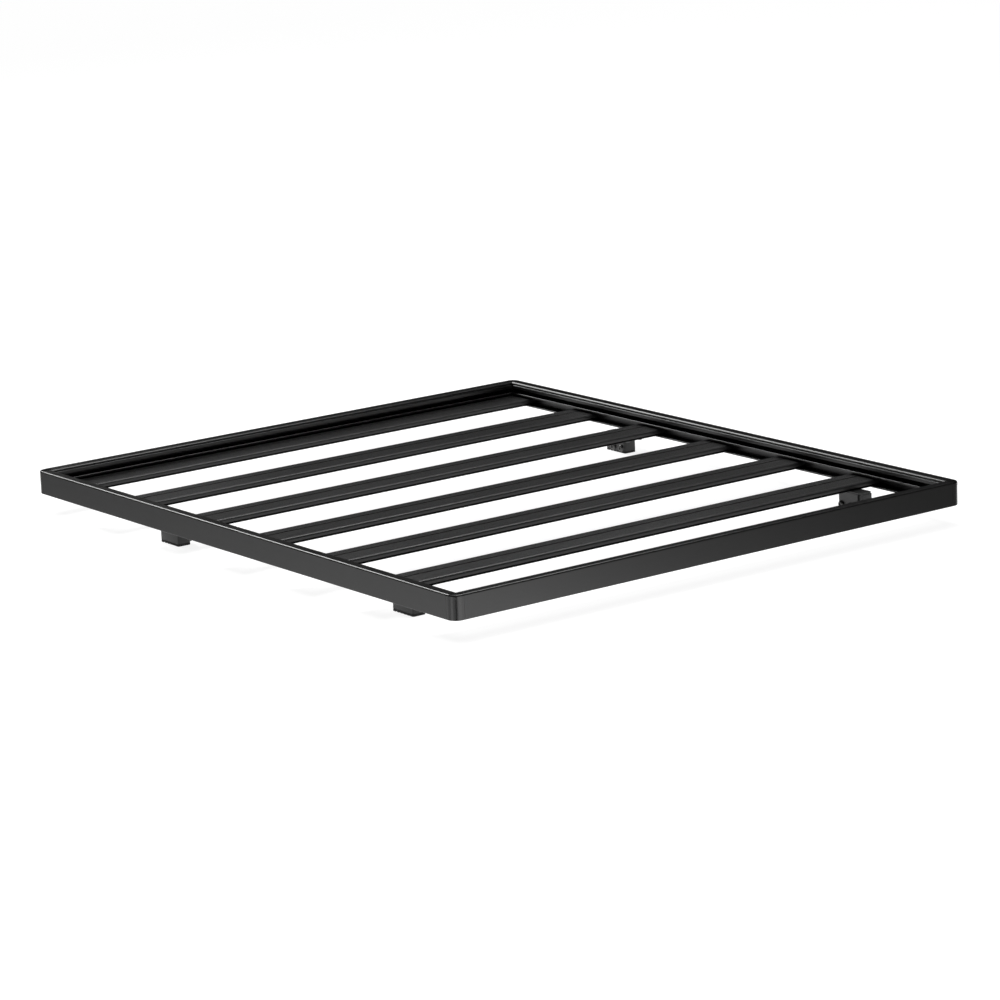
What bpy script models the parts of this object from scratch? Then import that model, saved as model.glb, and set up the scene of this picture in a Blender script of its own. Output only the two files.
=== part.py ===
"""Slatted roof platform rack: perimeter extrusions, cross slats, corner castings and feet.

Frame: X across the vehicle (along the slats), Y along the vehicle, +Z up.
The undersides of the rubber foot pads lie on z = 0 and the rack is centred on X and Y.
All lengths are in metres.
"""
import math

import bmesh
import bpy
import numpy as np
from mathutils import Matrix, Vector

# ---------------------------------------------------------------- driving dimensions
MM = 0.001
GAP = 0.3 * MM                   # clearance between touching pieces

RACK_W = 1165 * MM               # across the vehicle, outer face to outer face
RACK_L = 1358 * MM               # along the vehicle, outer face to outer face
RAIL_W = 22 * MM                 # rail section, width
RAIL_H = 45 * MM                 # rail section, height
RAIL_BASE = 36.5 * MM            # underside of the rails above the roof

WALL = 3.5 * MM                  # outer wall of the rail
FLANGE = 2.5 * MM                # bottom flange that carries the slat ends
LIP_Z = (19.0 * MM, 22.7 * MM)   # lip above the slat recess
SHELF_Z = 21.0 * MM              # floor of the inward T-slot
SLOT_TOP = 32.0 * MM             # upper edge of the T-slot mouth
SLOT_ROOF = 34.5 * MM            # roof of the T-slot
NIB = 2.5 * MM                   # depth of the T-slot nibs
CHAMBER_Z = (36.5 * MM, 42.5 * MM)
EDGE_OUT = 2.5 * MM              # outer top edge radius
EDGE_IN = 5.0 * MM               # inner top edge radius
BEAD_Z = 39.0 * MM               # small line rolled into the inner face

CORNER_R = 18 * MM               # plan radius of the corner castings
SPIGOT_LEN = 28 * MM

SLAT_COUNT = 7
SLAT_W = 73 * MM
SLAT_T = 12.4 * MM
SLAT_END = 4.0 * MM              # slat end to outer rail face
SLAT_Z = RAIL_BASE + FLANGE + GAP
SLAT_FIRST = RACK_L / 2 - WALL - 0.3 * MM - SLAT_W / 2
SLAT_PITCH = 2 * SLAT_FIRST / (SLAT_COUNT - 1)
CHANNEL_Y = 12 * MM              # underside T-channels, each side of the slat centre
CHANNEL_MOUTH = 6.6 * MM
CHANNEL_W = 11 * MM
CHANNEL_Z = (2.0 * MM, 8.5 * MM)
SLAT_EDGE = 4.5 * MM             # top edge radius
SIDE_SLOT = 6.0 * MM             # depth of the small slot along each side
SIDE_SLOT_Z = (0.6 * MM, 3.8 * MM)
GROOVE_Y = 8.0 * MM              # top groove, rearwards from the slat centre
GROOVE_DEEP = 2.2 * MM
NOTCH = 22.6 * MM                # end slats step round the corner castings

FOOT_L = 62 * MM
FOOT_W = 27 * MM
FOOT_TOP = 35.7 * MM
PAD_T = 4.0 * MM
FOOT_INSET = {"rear": 35 * MM, "front": 50 * MM}
FOOT_SLAT_FACE = {"rear": 232 * MM, "front": -428.5 * MM}
PLATE_T = 3.0 * MM
PLATE_REACH = 38.6 * MM            # bracket plate beyond the foot, under the slat
BRACKET_W = 62 * MM

M6_R = 2.9 * MM
M8_R = 3.9 * MM

SIDES = {"left": -1, "right": 1}
ENDS = {"front": -1, "rear": 1}

# ---------------------------------------------------------------- scene set-up
for old in list(bpy.data.objects):
    bpy.data.objects.remove(old, do_unlink=True)

PARTS = bpy.data.collections.new("roof_platform_rack")
CUTTERS = bpy.data.collections.new("cutters")
bpy.context.scene.collection.children.link(PARTS)
bpy.context.scene.collection.children.link(CUTTERS)


def finish(name, colour, roughness, metallic):
    """Plain Principled finish shared by the pieces made of one material."""
    mat = bpy.data.materials.new(name)
    mat.use_nodes = True
    shader = mat.node_tree.nodes["Principled BSDF"]
    shader.inputs["Base Color"].default_value = (*colour, 1.0)
    shader.inputs["Roughness"].default_value = roughness
    shader.inputs["Metallic"].default_value = metallic
    mat.diffuse_color = (*colour, 1.0)
    return mat


# ---------------------------------------------------------------- outlines
def fillet(corners, steps=4):
    """Round the corners of a closed outline.

    corners: (x, y, radius) in order; radius 0 keeps the corner sharp.
    """
    points = []
    count = len(corners)
    for i, (x, y, radius) in enumerate(corners):
        here = np.array((x, y))
        if radius <= 0:
            points.append(here)
            continue
        before = np.array(corners[i - 1][:2]) - here
        after = np.array(corners[(i + 1) % count][:2]) - here
        before /= np.linalg.norm(before)
        after /= np.linalg.norm(after)
        half = math.acos(float(np.clip(before @ after, -1, 1))) / 2
        start = here + before * radius / math.tan(half)
        end = here + after * radius / math.tan(half)
        middle = (before + after) / np.linalg.norm(before + after)
        centre = here + middle * radius / math.sin(half)
        a, b = start - centre, end - centre
        sweep = math.acos(float(np.clip(a @ b / radius ** 2, -1, 1)))
        for k in range(steps + 1):
            t = k / steps
            wa = math.sin((1 - t) * sweep) / math.sin(sweep)
            wb = math.sin(t * sweep) / math.sin(sweep)
            points.append(centre + wa * a + wb * b)
    return points


def prism(name, loops, length, rotation, location, collection=PARTS):
    """Extrude closed outlines (first outer, then holes) symmetrically by length."""
    curve = bpy.data.curves.new(name, "CURVE")
    curve.dimensions = "2D"
    curve.fill_mode = "BOTH"
    curve.extrude = length / 2
    for loop in loops:
        spline = curve.splines.new("POLY")
        spline.points.add(len(loop) - 1)
        flat = np.zeros((len(loop), 4))
        flat[:, :2] = np.array(loop)
        flat[:, 3] = 1
        spline.points.foreach_set("co", flat.ravel())
        spline.use_cyclic_u = True
    source = bpy.data.objects.new(name + "_outline", curve)
    collection.objects.link(source)
    source.rotation_euler = rotation
    source.location = location
    bpy.context.view_layer.update()
    graph = bpy.context.evaluated_depsgraph_get()
    mesh = bpy.data.meshes.new_from_object(source.evaluated_get(graph))
    mesh.name = name
    matrix = source.matrix_world.copy()
    bpy.data.objects.remove(source, do_unlink=True)
    weld(mesh)
    obj = bpy.data.objects.new(name, mesh)
    obj.matrix_world = matrix
    collection.objects.link(obj)
    return obj


def weld(mesh):
    """Merge the caps of an extruded outline with its sides."""
    bm = bmesh.new()
    bm.from_mesh(mesh)
    bmesh.ops.remove_doubles(bm, verts=bm.verts, dist=1e-6)
    bmesh.ops.recalc_face_normals(bm, faces=bm.faces)
    bm.to_mesh(mesh)
    bm.free()


# ---------------------------------------------------------------- simple solids
def from_bmesh(name, bm, collection=PARTS):
    mesh = bpy.data.meshes.new(name)
    bm.to_mesh(mesh)
    bm.free()
    obj = bpy.data.objects.new(name, mesh)
    collection.objects.link(obj)
    return obj


def box(name, low, high, collection=PARTS):
    low, high = Vector(low), Vector(high)
    bm = bmesh.new()
    size = Matrix.Diagonal((*(high - low), 1))
    bmesh.ops.create_cube(bm, size=1, matrix=Matrix.Translation((low + high) / 2) @ size)
    return from_bmesh(name, bm, collection)


def rod(name, radius, start, end, segments=24, collection=CUTTERS):
    """Round bar between two points."""
    start, end = Vector(start), Vector(end)
    axis = end - start
    bm = bmesh.new()
    turn = Vector((0, 0, 1)).rotation_difference(axis).to_matrix().to_4x4()
    bmesh.ops.create_cone(bm, cap_ends=True, segments=segments, radius1=radius,
                          radius2=radius, depth=axis.length,
                          matrix=Matrix.Translation((start + end) / 2) @ turn)
    return from_bmesh(name, bm, collection)


def turned(name, profile, location, rotation=(0, 0, 0), steps=24, collection=CUTTERS):
    """Turn an (radius, height) outline that starts and ends on the axis."""
    bm = bmesh.new()
    verts = [bm.verts.new((r, 0, z)) for r, z in profile]
    for a, b in zip(verts, verts[1:]):
        bm.edges.new((a, b))
    obj = from_bmesh(name, bm, collection)
    screw = obj.modifiers.new("turn", "SCREW")
    screw.steps = screw.render_steps = steps
    screw.use_merge_vertices = True
    screw.merge_threshold = 1e-6
    screw.use_normal_calculate = True
    obj.location = location
    obj.rotation_euler = rotation
    bake(obj)
    weld(obj.data)
    return obj


def bake(obj):
    """Apply the modifiers of an object to its mesh."""
    bpy.context.view_layer.update()
    graph = bpy.context.evaluated_depsgraph_get()
    mesh = bpy.data.meshes.new_from_object(obj.evaluated_get(graph))
    obj.modifiers.clear()
    obj.data = mesh


def boolean(target, tools, operation="DIFFERENCE"):
    """Cut or join tool objects into the target, one after another."""
    for tool in tools:
        if tool.name not in CUTTERS.objects:
            for owner in list(tool.users_collection):
                owner.objects.unlink(tool)
            CUTTERS.objects.link(tool)
        tool.hide_render = True
        tool.display_type = "WIRE"
        cut = target.modifiers.new(operation.lower(), "BOOLEAN")
        cut.operation = operation
        cut.solver = "EXACT"
        cut.object = tool
    bake(target)
    for tool in tools:
        bpy.data.objects.remove(tool, do_unlink=True)
    return target


def group_cutter(tools):
    """One cutter made of several separate bars."""
    bm = bmesh.new()
    bpy.context.view_layer.update()
    for tool in tools:
        mesh = tool.data.copy()
        mesh.transform(tool.matrix_world)
        bm.from_mesh(mesh)
        bpy.data.meshes.remove(mesh)
        bpy.data.objects.remove(tool, do_unlink=True)
    return from_bmesh("cutter", bm, CUTTERS)


def bevel_edges(obj, test, width, segments):
    """Round the edges of a box-like solid that pass a test on their end points."""
    bm = bmesh.new()
    bm.from_mesh(obj.data)
    chosen = [e for e in bm.edges if test(e.verts[0].co, e.verts[1].co)]
    bmesh.ops.bevel(bm, geom=chosen, offset=width, segments=segments, profile=0.5,
                    affect="EDGES", clamp_overlap=True)
    bm.to_mesh(obj.data)
    bm.free()


def complete(obj, mat, smooth=True, angle=35):
    """Give the piece its finish and shade its round faces smooth."""
    obj.data.materials.clear()
    obj.data.materials.append(mat)
    obj.data.validate()
    if smooth:
        obj.data.shade_smooth()
        bm = bmesh.new()
        bm.from_mesh(obj.data)
        for edge in bm.edges:
            sharp = not edge.is_manifold or edge.calc_face_angle(0) > math.radians(angle)
            edge.smooth = not sharp
        bm.to_mesh(obj.data)
        bm.free()
    return obj


# ---------------------------------------------------------------- perimeter rails
RAIL_TURN = {"left": 0, "front": 90, "right": 180, "rear": -90}


def rail_loops():
    """Rail section: x runs inwards from the outer face, y runs up from the underside."""
    w, h, wall = RAIL_W, RAIL_H, WALL
    outer = [
        (0, 0, 1.0 * MM), (w, 0, 0.6 * MM), (w, FLANGE, 0.6 * MM), (wall, FLANGE, 1.0 * MM),
        (wall, LIP_Z[0], 1.0 * MM), (w, LIP_Z[0], 0.6 * MM), (w, LIP_Z[1], 0.8 * MM),
        (w - NIB, LIP_Z[1], 0), (w - NIB, SHELF_Z, 0), (wall, SHELF_Z, 0),
        (wall, SLOT_ROOF, 0), (w - NIB, SLOT_ROOF, 0), (w - NIB, SLOT_TOP, 0),
        (w, SLOT_TOP, 0.6 * MM),
        (w, BEAD_Z - 0.7 * MM, 0), (w - 0.7 * MM, BEAD_Z, 0), (w, BEAD_Z + 0.7 * MM, 0),
        (w, h, EDGE_IN), (0, h, EDGE_OUT),
    ]
    low, high = CHAMBER_Z
    chamber = [(wall, low, 0.5 * MM), (w - NIB, low, 0.5 * MM),
               (w - NIB, high, EDGE_IN - NIB), (wall, high, 0.5 * MM)]
    return [fillet(outer, 5), fillet(chamber, 3)]


def rail_point(side, along, inward, z):
    """Point of a rail given along its length, inwards from its outer face and up."""
    if side in SIDES:
        s = SIDES[side]
        return (s * (RACK_W / 2 - inward), along, z)
    s = ENDS[side]
    return (along, s * (RACK_L / 2 - inward), z)


def slat_centres():
    return [-SLAT_FIRST + i * SLAT_PITCH for i in range(SLAT_COUNT)]


BOLT_INSET = 12.5 * MM           # slat bolts, inwards from the outer rail face


def slat_bolt_spots():
    """Slat number, rail and Y position of the bolt at each slat end."""
    spots = []
    for i, y in enumerate(slat_centres()):
        towards_middle = CHANNEL_Y if i < SLAT_COUNT / 2 else -CHANNEL_Y
        for side in SIDES:
            spots.append((i + 1, side, y + towards_middle))
    return spots


def build_rails(mat):
    for side, degrees in RAIL_TURN.items():
        full = RACK_L if side in SIDES else RACK_W
        length = full - 2 * RAIL_W - 2 * GAP
        rail = prism(f"rail_{side}", rail_loops(), length,
                     (math.radians(90), 0, math.radians(degrees)),
                     rail_point(side, 0, 0, RAIL_BASE))
        holes = [rod("hole", M6_R + GAP,
                     rail_point(side, along, BOLT_INSET, RAIL_BASE - 2 * MM),
                     rail_point(side, along, BOLT_INSET, RAIL_BASE + 5 * MM), 12)
                 for _, spot_side, along in slat_bolt_spots() if spot_side == side]
        if holes:
            boolean(rail, [group_cutter(holes)])
        complete(rail, mat)


# ---------------------------------------------------------------- corner castings
def build_corners(mat):
    for end, sy in ENDS.items():
        for side, sx in SIDES.items():
            build_corner(f"corner_{end}_{side}", sx, sy, mat)


def build_corner(name, sx, sy, mat):
    """Solid rounded corner with a spigot into the upper chamber of each rail."""
    z0, z1 = RAIL_BASE, RAIL_BASE + RAIL_H
    block = box(name, (0, 0, z0), (RAIL_W, RAIL_W, z1))

    def outer_post(a, b):
        return abs(a.z - b.z) > RAIL_H / 2 and max(a.x, a.y, b.x, b.y) < 1e-6

    bevel_edges(block, outer_post, CORNER_R, 12)

    def on_outside(v):
        corner = Vector((CORNER_R, CORNER_R))
        flat = Vector((v.x, v.y))
        on_arc = abs((flat - corner).length - CORNER_R) < 1e-5 and v.x < CORNER_R and v.y < CORNER_R
        return on_arc or v.x < 1e-6 or v.y < 1e-6

    def top_rim(a, b):
        return min(a.z, b.z) > z1 - 1e-6 and on_outside(a) and on_outside(b)

    def bottom_rim(a, b):
        return max(a.z, b.z) < z0 + 1e-6 and on_outside(a) and on_outside(b)

    bevel_edges(block, top_rim, EDGE_OUT, 5)
    bevel_edges(block, bottom_rim, 1.0 * MM, 3)

    # inner top edge: both rails round down towards the inside of the corner
    w, h = RAIL_W, RAIL_H
    bite = fillet([(w - EDGE_IN, h, 0), (w, h, EDGE_IN), (w, h - EDGE_IN, 0)], 5)[1:-1]
    section = [(w - EDGE_IN, h + 2 * MM), (w + 2 * MM, h + 2 * MM), (w + 2 * MM, h - EDGE_IN)]
    section = [np.array(p) for p in section] + bite[::-1]
    along_y = prism("bite", [section], 20 * MM, (math.radians(90), 0, 0), (0, w, z0), CUTTERS)
    along_x = prism("bite", [section], 20 * MM, (math.radians(90), 0, math.radians(90)),
                    (w, 0, z0), CUTTERS)
    boolean(along_y, [along_x], "INTERSECT")
    boolean(block, [along_y])

    low, high = z0 + CHAMBER_Z[0] + GAP, z0 + 41.7 * MM
    inner = 18.2 * MM
    outer = WALL + GAP
    reach = w + SPIGOT_LEN
    spigots = [box("spigot", (outer, w - 6 * MM, low), (inner, reach, high)),
               box("spigot", (w - 6 * MM, outer, low), (reach, inner, high))]
    boolean(block, spigots, "UNION")

    place = Matrix.Translation((sx * RACK_W / 2, sy * RACK_L / 2, 0))
    mirror = Matrix.Diagonal((-sx, -sy, 1, 1))
    block.data.transform(place @ mirror)
    if sx * sy < 0:
        block.data.flip_normals()
    complete(block, mat)


# ---------------------------------------------------------------- slats
def slat_loops():
    """Slat section: x across the slat, y up from its underside."""
    half, t = SLAT_W / 2, SLAT_T
    low, high = CHANNEL_Z
    right = []
    inner, outer = CHANNEL_Y - CHANNEL_W / 2, CHANNEL_Y + CHANNEL_W / 2
    m0, m1 = CHANNEL_Y - CHANNEL_MOUTH / 2, CHANNEL_Y + CHANNEL_MOUTH / 2
    right += [(m0, 0, 0.3 * MM), (m0, low, 0), (inner, low, 0), (inner, high, 0.6 * MM),
              (outer, high, 0.6 * MM), (outer, low, 0), (m1, low, 0), (m1, 0, 0.3 * MM)]
    slot_low, slot_high = SIDE_SLOT_Z
    right += [(half, 0, 0.2 * MM), (half, slot_low, 0.2 * MM), (half - SIDE_SLOT, slot_low, 0),
              (half - SIDE_SLOT, slot_high, 0), (half, slot_high, 0.4 * MM),
              (half, t, SLAT_EDGE)]
    left = [(-x, y, r) for x, y, r in right[::-1]]
    groove = [(GROOVE_Y + 1.9 * MM, t, 0), (GROOVE_Y + 1.6 * MM, t - GROOVE_DEEP, 0),
              (GROOVE_Y - 1.6 * MM, t - GROOVE_DEEP, 0), (GROOVE_Y - 1.9 * MM, t, 0)]
    rim = fillet(right + groove + left, 4)
    holes = [[(-4.5 * MM, 2.2 * MM, 0.8 * MM), (4.5 * MM, 2.2 * MM, 0.8 * MM),
              (4.5 * MM, 9.8 * MM, 0.8 * MM), (-4.5 * MM, 9.8 * MM, 0.8 * MM)]]
    for s in (-1, 1):
        a, b = sorted((s * 19.7 * MM, s * (half - 2.4 * MM)))
        holes.append([(a, 5.4 * MM, 0.8 * MM), (b, 5.4 * MM, 0.8 * MM),
                      (b, 9.6 * MM, 0.8 * MM), (a, 9.6 * MM, 0.8 * MM)])
    return [rim] + [fillet(hole, 2) for hole in holes]


def build_slats(mat):
    centres = slat_centres()
    for i, y in enumerate(centres):
        slat = prism(f"slat_{i + 1}", slat_loops(), RACK_W - 2 * SLAT_END,
                     (math.radians(90), 0, math.radians(90)), (0, y, SLAT_Z))
        if i in (0, len(centres) - 1):
            s = -1 if i == 0 else 1
            for sx in (-1, 1):
                a = (sx * (RACK_W / 2 - NOTCH), s * (RACK_L / 2 - NOTCH), SLAT_Z - 5 * MM)
                b = (sx * RACK_W, s * RACK_L, SLAT_Z + SLAT_T + 5 * MM)
                low = tuple(min(p, q) for p, q in zip(a, b))
                high = tuple(max(p, q) for p, q in zip(a, b))
                boolean(slat, [box("notch", low, high, CUTTERS)])
        complete(slat, mat)


def button_bolt(radius, head_r, head_h, length, hex_r):
    """Section of a button-head bolt standing on its head: head from 0 down, shank up."""
    return [(0, -head_h + 1.6 * MM), (hex_r, -head_h + 1.6 * MM), (hex_r, -head_h),
            (head_r * 0.72, -head_h), (head_r * 0.92, -head_h * 0.55), (head_r, -head_h * 0.12),
            (head_r, 0), (radius, 0), (radius, length - 0.6 * MM), (radius - 0.6 * MM, length),
            (0, length)]


def channel_bolt(name, head_r, head_h, seat, mat):
    """Bolt pushed up into an underside channel of a slat, with its square nut run home."""
    low = SLAT_Z + CHANNEL_Z[0] + GAP
    tip = low + 5.6 * MM - seat[2]
    profile = [(0, -head_h), (head_r * 0.72, -head_h), (head_r, -head_h * 0.3), (head_r, 0),
               (M6_R, 0), (M6_R, tip), (0, tip)]
    bolt = turned(name, profile, seat, steps=14)
    CUTTERS.objects.unlink(bolt)
    PARTS.objects.link(bolt)
    half = 4.9 * MM
    nut = box("nut", (seat[0] - half, seat[1] - half, low),
              (seat[0] + half, seat[1] + half, low + 4.6 * MM), CUTTERS)
    boolean(bolt, [nut], "UNION")
    complete(bolt, mat)


def build_slat_bolts(mat):
    for number, side, along in slat_bolt_spots():
        seat = rail_point(side, along, BOLT_INSET, RAIL_BASE - GAP)
        channel_bolt(f"slat_bolt_{number}_{side}", 5.2 * MM, 3.2 * MM, seat, mat)


# ---------------------------------------------------------------- feet
def feet():
    """Name, corner of the foot nearest the slat on the outer face, and directions."""
    for end, sy in ENDS.items():
        for side, sx in SIDES.items():
            x = sx * (RACK_W / 2 - FOOT_INSET[end])
            yield f"{end}_{side}", x, FOOT_SLAT_FACE[end], sx, sy


def foot_box(name, x, y, sx, sy, inward, away, z, collection=PARTS):
    """Box given inwards from the outer face, away from the slat-side face and up."""
    a = (x - sx * inward[0], y + sy * away[0], z[0])
    b = (x - sx * inward[1], y + sy * away[1], z[1])
    low = tuple(min(p, q) for p, q in zip(a, b))
    high = tuple(max(p, q) for p, q in zip(a, b))
    return box(name, low, high, collection)


SIDE_BOLT_AWAY = (9 * MM, 34 * MM)
SIDE_BOLT_Z = 11.0 * MM
SLOT_AWAY = (-34.6 * MM, -11.2 * MM)   # adjustment slots in the bracket plate
SLOT_INWARD = (15 * MM, 47 * MM)


def slat_bolt_row(sy):
    """Y position of the channel that takes the bracket bolts of a foot."""
    index = 4 if sy > 0 else 1
    return slat_centres()[index] - sy * CHANNEL_Y


def build_feet(block_mat, pad_mat, bracket_mat, bolt_mat):
    for label, x, y, sx, sy in feet():
        block = foot_box(f"foot_block_{label}", x, y, sx, sy, (0, FOOT_W), (0, FOOT_L),
                         (PAD_T + GAP, FOOT_TOP))

        def vertical(a, b):
            return abs(a.z - b.z) > 10 * MM

        bevel_edges(block, vertical, 2.0 * MM, 4)
        holes = []
        for away in SIDE_BOLT_AWAY:
            py = y + sy * away
            holes.append(rod("hole", M8_R + GAP, (x - sx * (FOOT_W + 2 * MM), py, SIDE_BOLT_Z),
                             (x - sx * (FOOT_W - 16 * MM), py, SIDE_BOLT_Z), 20))
        boolean(block, [group_cutter(holes)])
        complete(block, block_mat)

        pad = foot_box(f"foot_pad_{label}", x, y, sx, sy, (0, FOOT_W), (0, FOOT_L), (0, PAD_T))
        bevel_edges(pad, lambda a, b: abs(a.z - b.z) > 1 * MM, 2.0 * MM, 4)
        grooves = []
        for k in range(5):
            centre = FOOT_L * (k + 1) / 6
            grooves.append(foot_box("groove", x, y, sx, sy, (-5 * MM, FOOT_W + 5 * MM),
                                    (centre - 1.5 * MM, centre + 1.5 * MM),
                                    (-1 * MM, 1.2 * MM), CUTTERS))
        boolean(pad, [group_cutter(grooves)])
        complete(pad, pad_mat)

        build_bracket(label, x, y, sx, sy, bracket_mat)

        for number, away in enumerate(SIDE_BOLT_AWAY, 1):
            seat = (x - sx * (FOOT_W + GAP + PLATE_T + GAP), y + sy * away, SIDE_BOLT_Z)
            bolt = turned(f"foot_side_bolt_{label}_{number}",
                          button_bolt(M8_R, 6.9 * MM, 4.2 * MM, 18 * MM, 2.6 * MM),
                          seat, (0, math.radians(90) * sx, 0), 18)
            CUTTERS.objects.unlink(bolt)
            PARTS.objects.link(bolt)
            complete(bolt, bolt_mat)
        for number, inward in enumerate(SLOT_INWARD, 1):
            seat = (x - sx * inward, slat_bolt_row(sy), RAIL_BASE - 0.5 * MM - GAP)
            channel_bolt(f"foot_slat_bolt_{label}_{number}", 5.8 * MM, 3.6 * MM, seat, bolt_mat)


def build_bracket(label, x, y, sx, sy, mat):
    """Bent steel bracket: plate on the foot and under the slat, leg down the inner face."""
    top = (RAIL_BASE - 0.5 * MM, RAIL_BASE + 2.5 * MM)
    leg_in = (FOOT_W + GAP, FOOT_W + GAP + PLATE_T)
    plan = [(1 * MM, -PLATE_REACH, 4 * MM), (BRACKET_W, -PLATE_REACH, 4 * MM),
            (BRACKET_W, -2 * MM, 4 * MM), (leg_in[1], -2 * MM, 3 * MM),
            (leg_in[1], FOOT_L - 8 * MM, 0), (FOOT_W - 4 * MM, FOOT_L - 1 * MM, 4 * MM),
            (1 * MM, FOOT_L - 1 * MM, 4 * MM)]
    slots = []
    for inward in SLOT_INWARD:
        r = 3.3 * MM
        slots.append(fillet([(inward - r, SLOT_AWAY[0], r * 0.98), (inward + r, SLOT_AWAY[0], r * 0.98),
                             (inward + r, SLOT_AWAY[1], r * 0.98),
                             (inward - r, SLOT_AWAY[1], r * 0.98)], 6))
    plate = prism(f"foot_bracket_{label}", [fillet(plan, 4)] + slots, PLATE_T, (0, 0, 0),
                  (0, 0, (top[0] + top[1]) / 2))
    leg = box("leg", (leg_in[0], 2 * MM, 4.8 * MM), (leg_in[1], FOOT_L - 8 * MM, top[0] + 1 * MM),
              CUTTERS)
    bevel_edges(leg, lambda a, b: abs(a.x - b.x) > 1 * MM and max(a.z, b.z) < 10 * MM,
                5.0 * MM, 5)
    boolean(plate, [leg], "UNION")
    holes = [rod("hole", M8_R + GAP, (leg_in[0] - 3 * MM, away, SIDE_BOLT_Z),
                 (leg_in[1] + 3 * MM, away, SIDE_BOLT_Z), 20) for away in SIDE_BOLT_AWAY]
    boolean(plate, [group_cutter(holes)])
    plate.data.transform(plate.matrix_world)
    plate.matrix_world = Matrix.Identity(4)
    plate.data.transform(Matrix.Translation((x, y, 0)) @ Matrix.Diagonal((-sx, sy, 1, 1)))
    if -sx * sy < 0:
        plate.data.flip_normals()
    complete(plate, mat)


# ---------------------------------------------------------------- assembly
def main():
    powder = finish("black_powder_coat", (0.028, 0.029, 0.030), 0.42, 0.0)
    slat_coat = finish("black_slat_coat", (0.034, 0.035, 0.036), 0.5, 0.0)
    casting = finish("black_casting_coat", (0.032, 0.033, 0.034), 0.4, 0.0)
    foot_coat = finish("black_foot_coat", (0.030, 0.030, 0.031), 0.55, 0.0)
    bracket = finish("black_steel_bracket", (0.022, 0.022, 0.023), 0.45, 0.2)
    rubber = finish("black_rubber", (0.016, 0.016, 0.016), 0.85, 0.0)
    bolt = finish("black_oxide_steel", (0.06, 0.06, 0.062), 0.35, 0.9)
    build_rails(powder)
    build_corners(casting)
    build_slats(slat_coat)
    build_slat_bolts(bolt)
    build_feet(foot_coat, rubber, bracket, bolt)


main()
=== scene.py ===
"""Finished surfaces, coats and studio for a flat slatted roof rack.

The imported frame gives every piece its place. Each class below holds the sizes of one
sub-assembly, works its surfaces out as whole arrays and dresses them in one of the coats.
Lengths are in metres: X across the vehicle, Y along it with the rear at +Y, Z up.
"""
import logging
import math
from dataclasses import dataclass, field
from enum import Enum
from itertools import product
from typing import Any, Iterable, Sequence

import bmesh
import bpy
import numpy as np
from mathutils import Matrix, Vector
from mathutils.geometry import tessellate_polygon


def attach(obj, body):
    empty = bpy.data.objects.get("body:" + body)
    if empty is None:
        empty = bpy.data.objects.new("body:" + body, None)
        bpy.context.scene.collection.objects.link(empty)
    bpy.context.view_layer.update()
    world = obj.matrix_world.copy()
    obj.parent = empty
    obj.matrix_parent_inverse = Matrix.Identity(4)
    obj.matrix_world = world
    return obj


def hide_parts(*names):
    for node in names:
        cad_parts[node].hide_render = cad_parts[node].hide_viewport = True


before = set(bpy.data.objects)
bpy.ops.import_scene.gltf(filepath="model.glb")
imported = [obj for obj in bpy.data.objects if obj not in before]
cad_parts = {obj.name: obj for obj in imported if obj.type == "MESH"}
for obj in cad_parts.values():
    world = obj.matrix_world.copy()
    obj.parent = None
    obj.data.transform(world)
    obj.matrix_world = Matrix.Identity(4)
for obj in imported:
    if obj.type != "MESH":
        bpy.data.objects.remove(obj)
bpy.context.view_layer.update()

LOG = logging.getLogger("rack")
MM = 0.001
WELD = 0.002 * MM
NEAR_CORNER = (-0.5645, -0.661)
Array = np.ndarray
Number = float | int


# ------------------------- named choices
class Side(Enum):
    """The two long sides of the rack and the sign of their X."""

    LEFT = -1
    RIGHT = 1


class End(Enum):
    """The two ends of the rack and the sign of their Y."""

    FRONT = -1
    REAR = 1


class Slot(Enum):
    """Material slots of the record."""

    RAIL = "rail_coat"
    CORNER = "corner_coat"
    SLAT = "slat_coat"
    FOOT = "foot_coat"
    BRACKET = "bracket_coat"
    PAD = "pad_rubber"
    BOLT = "black_bolt"


# ------------------------- outlines and surfaces
def unit(vectors: Array) -> Array:
    """Vectors scaled to length one along their last axis."""
    return vectors / np.maximum(np.linalg.norm(vectors, axis=-1, keepdims=True), 1e-12)


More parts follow.
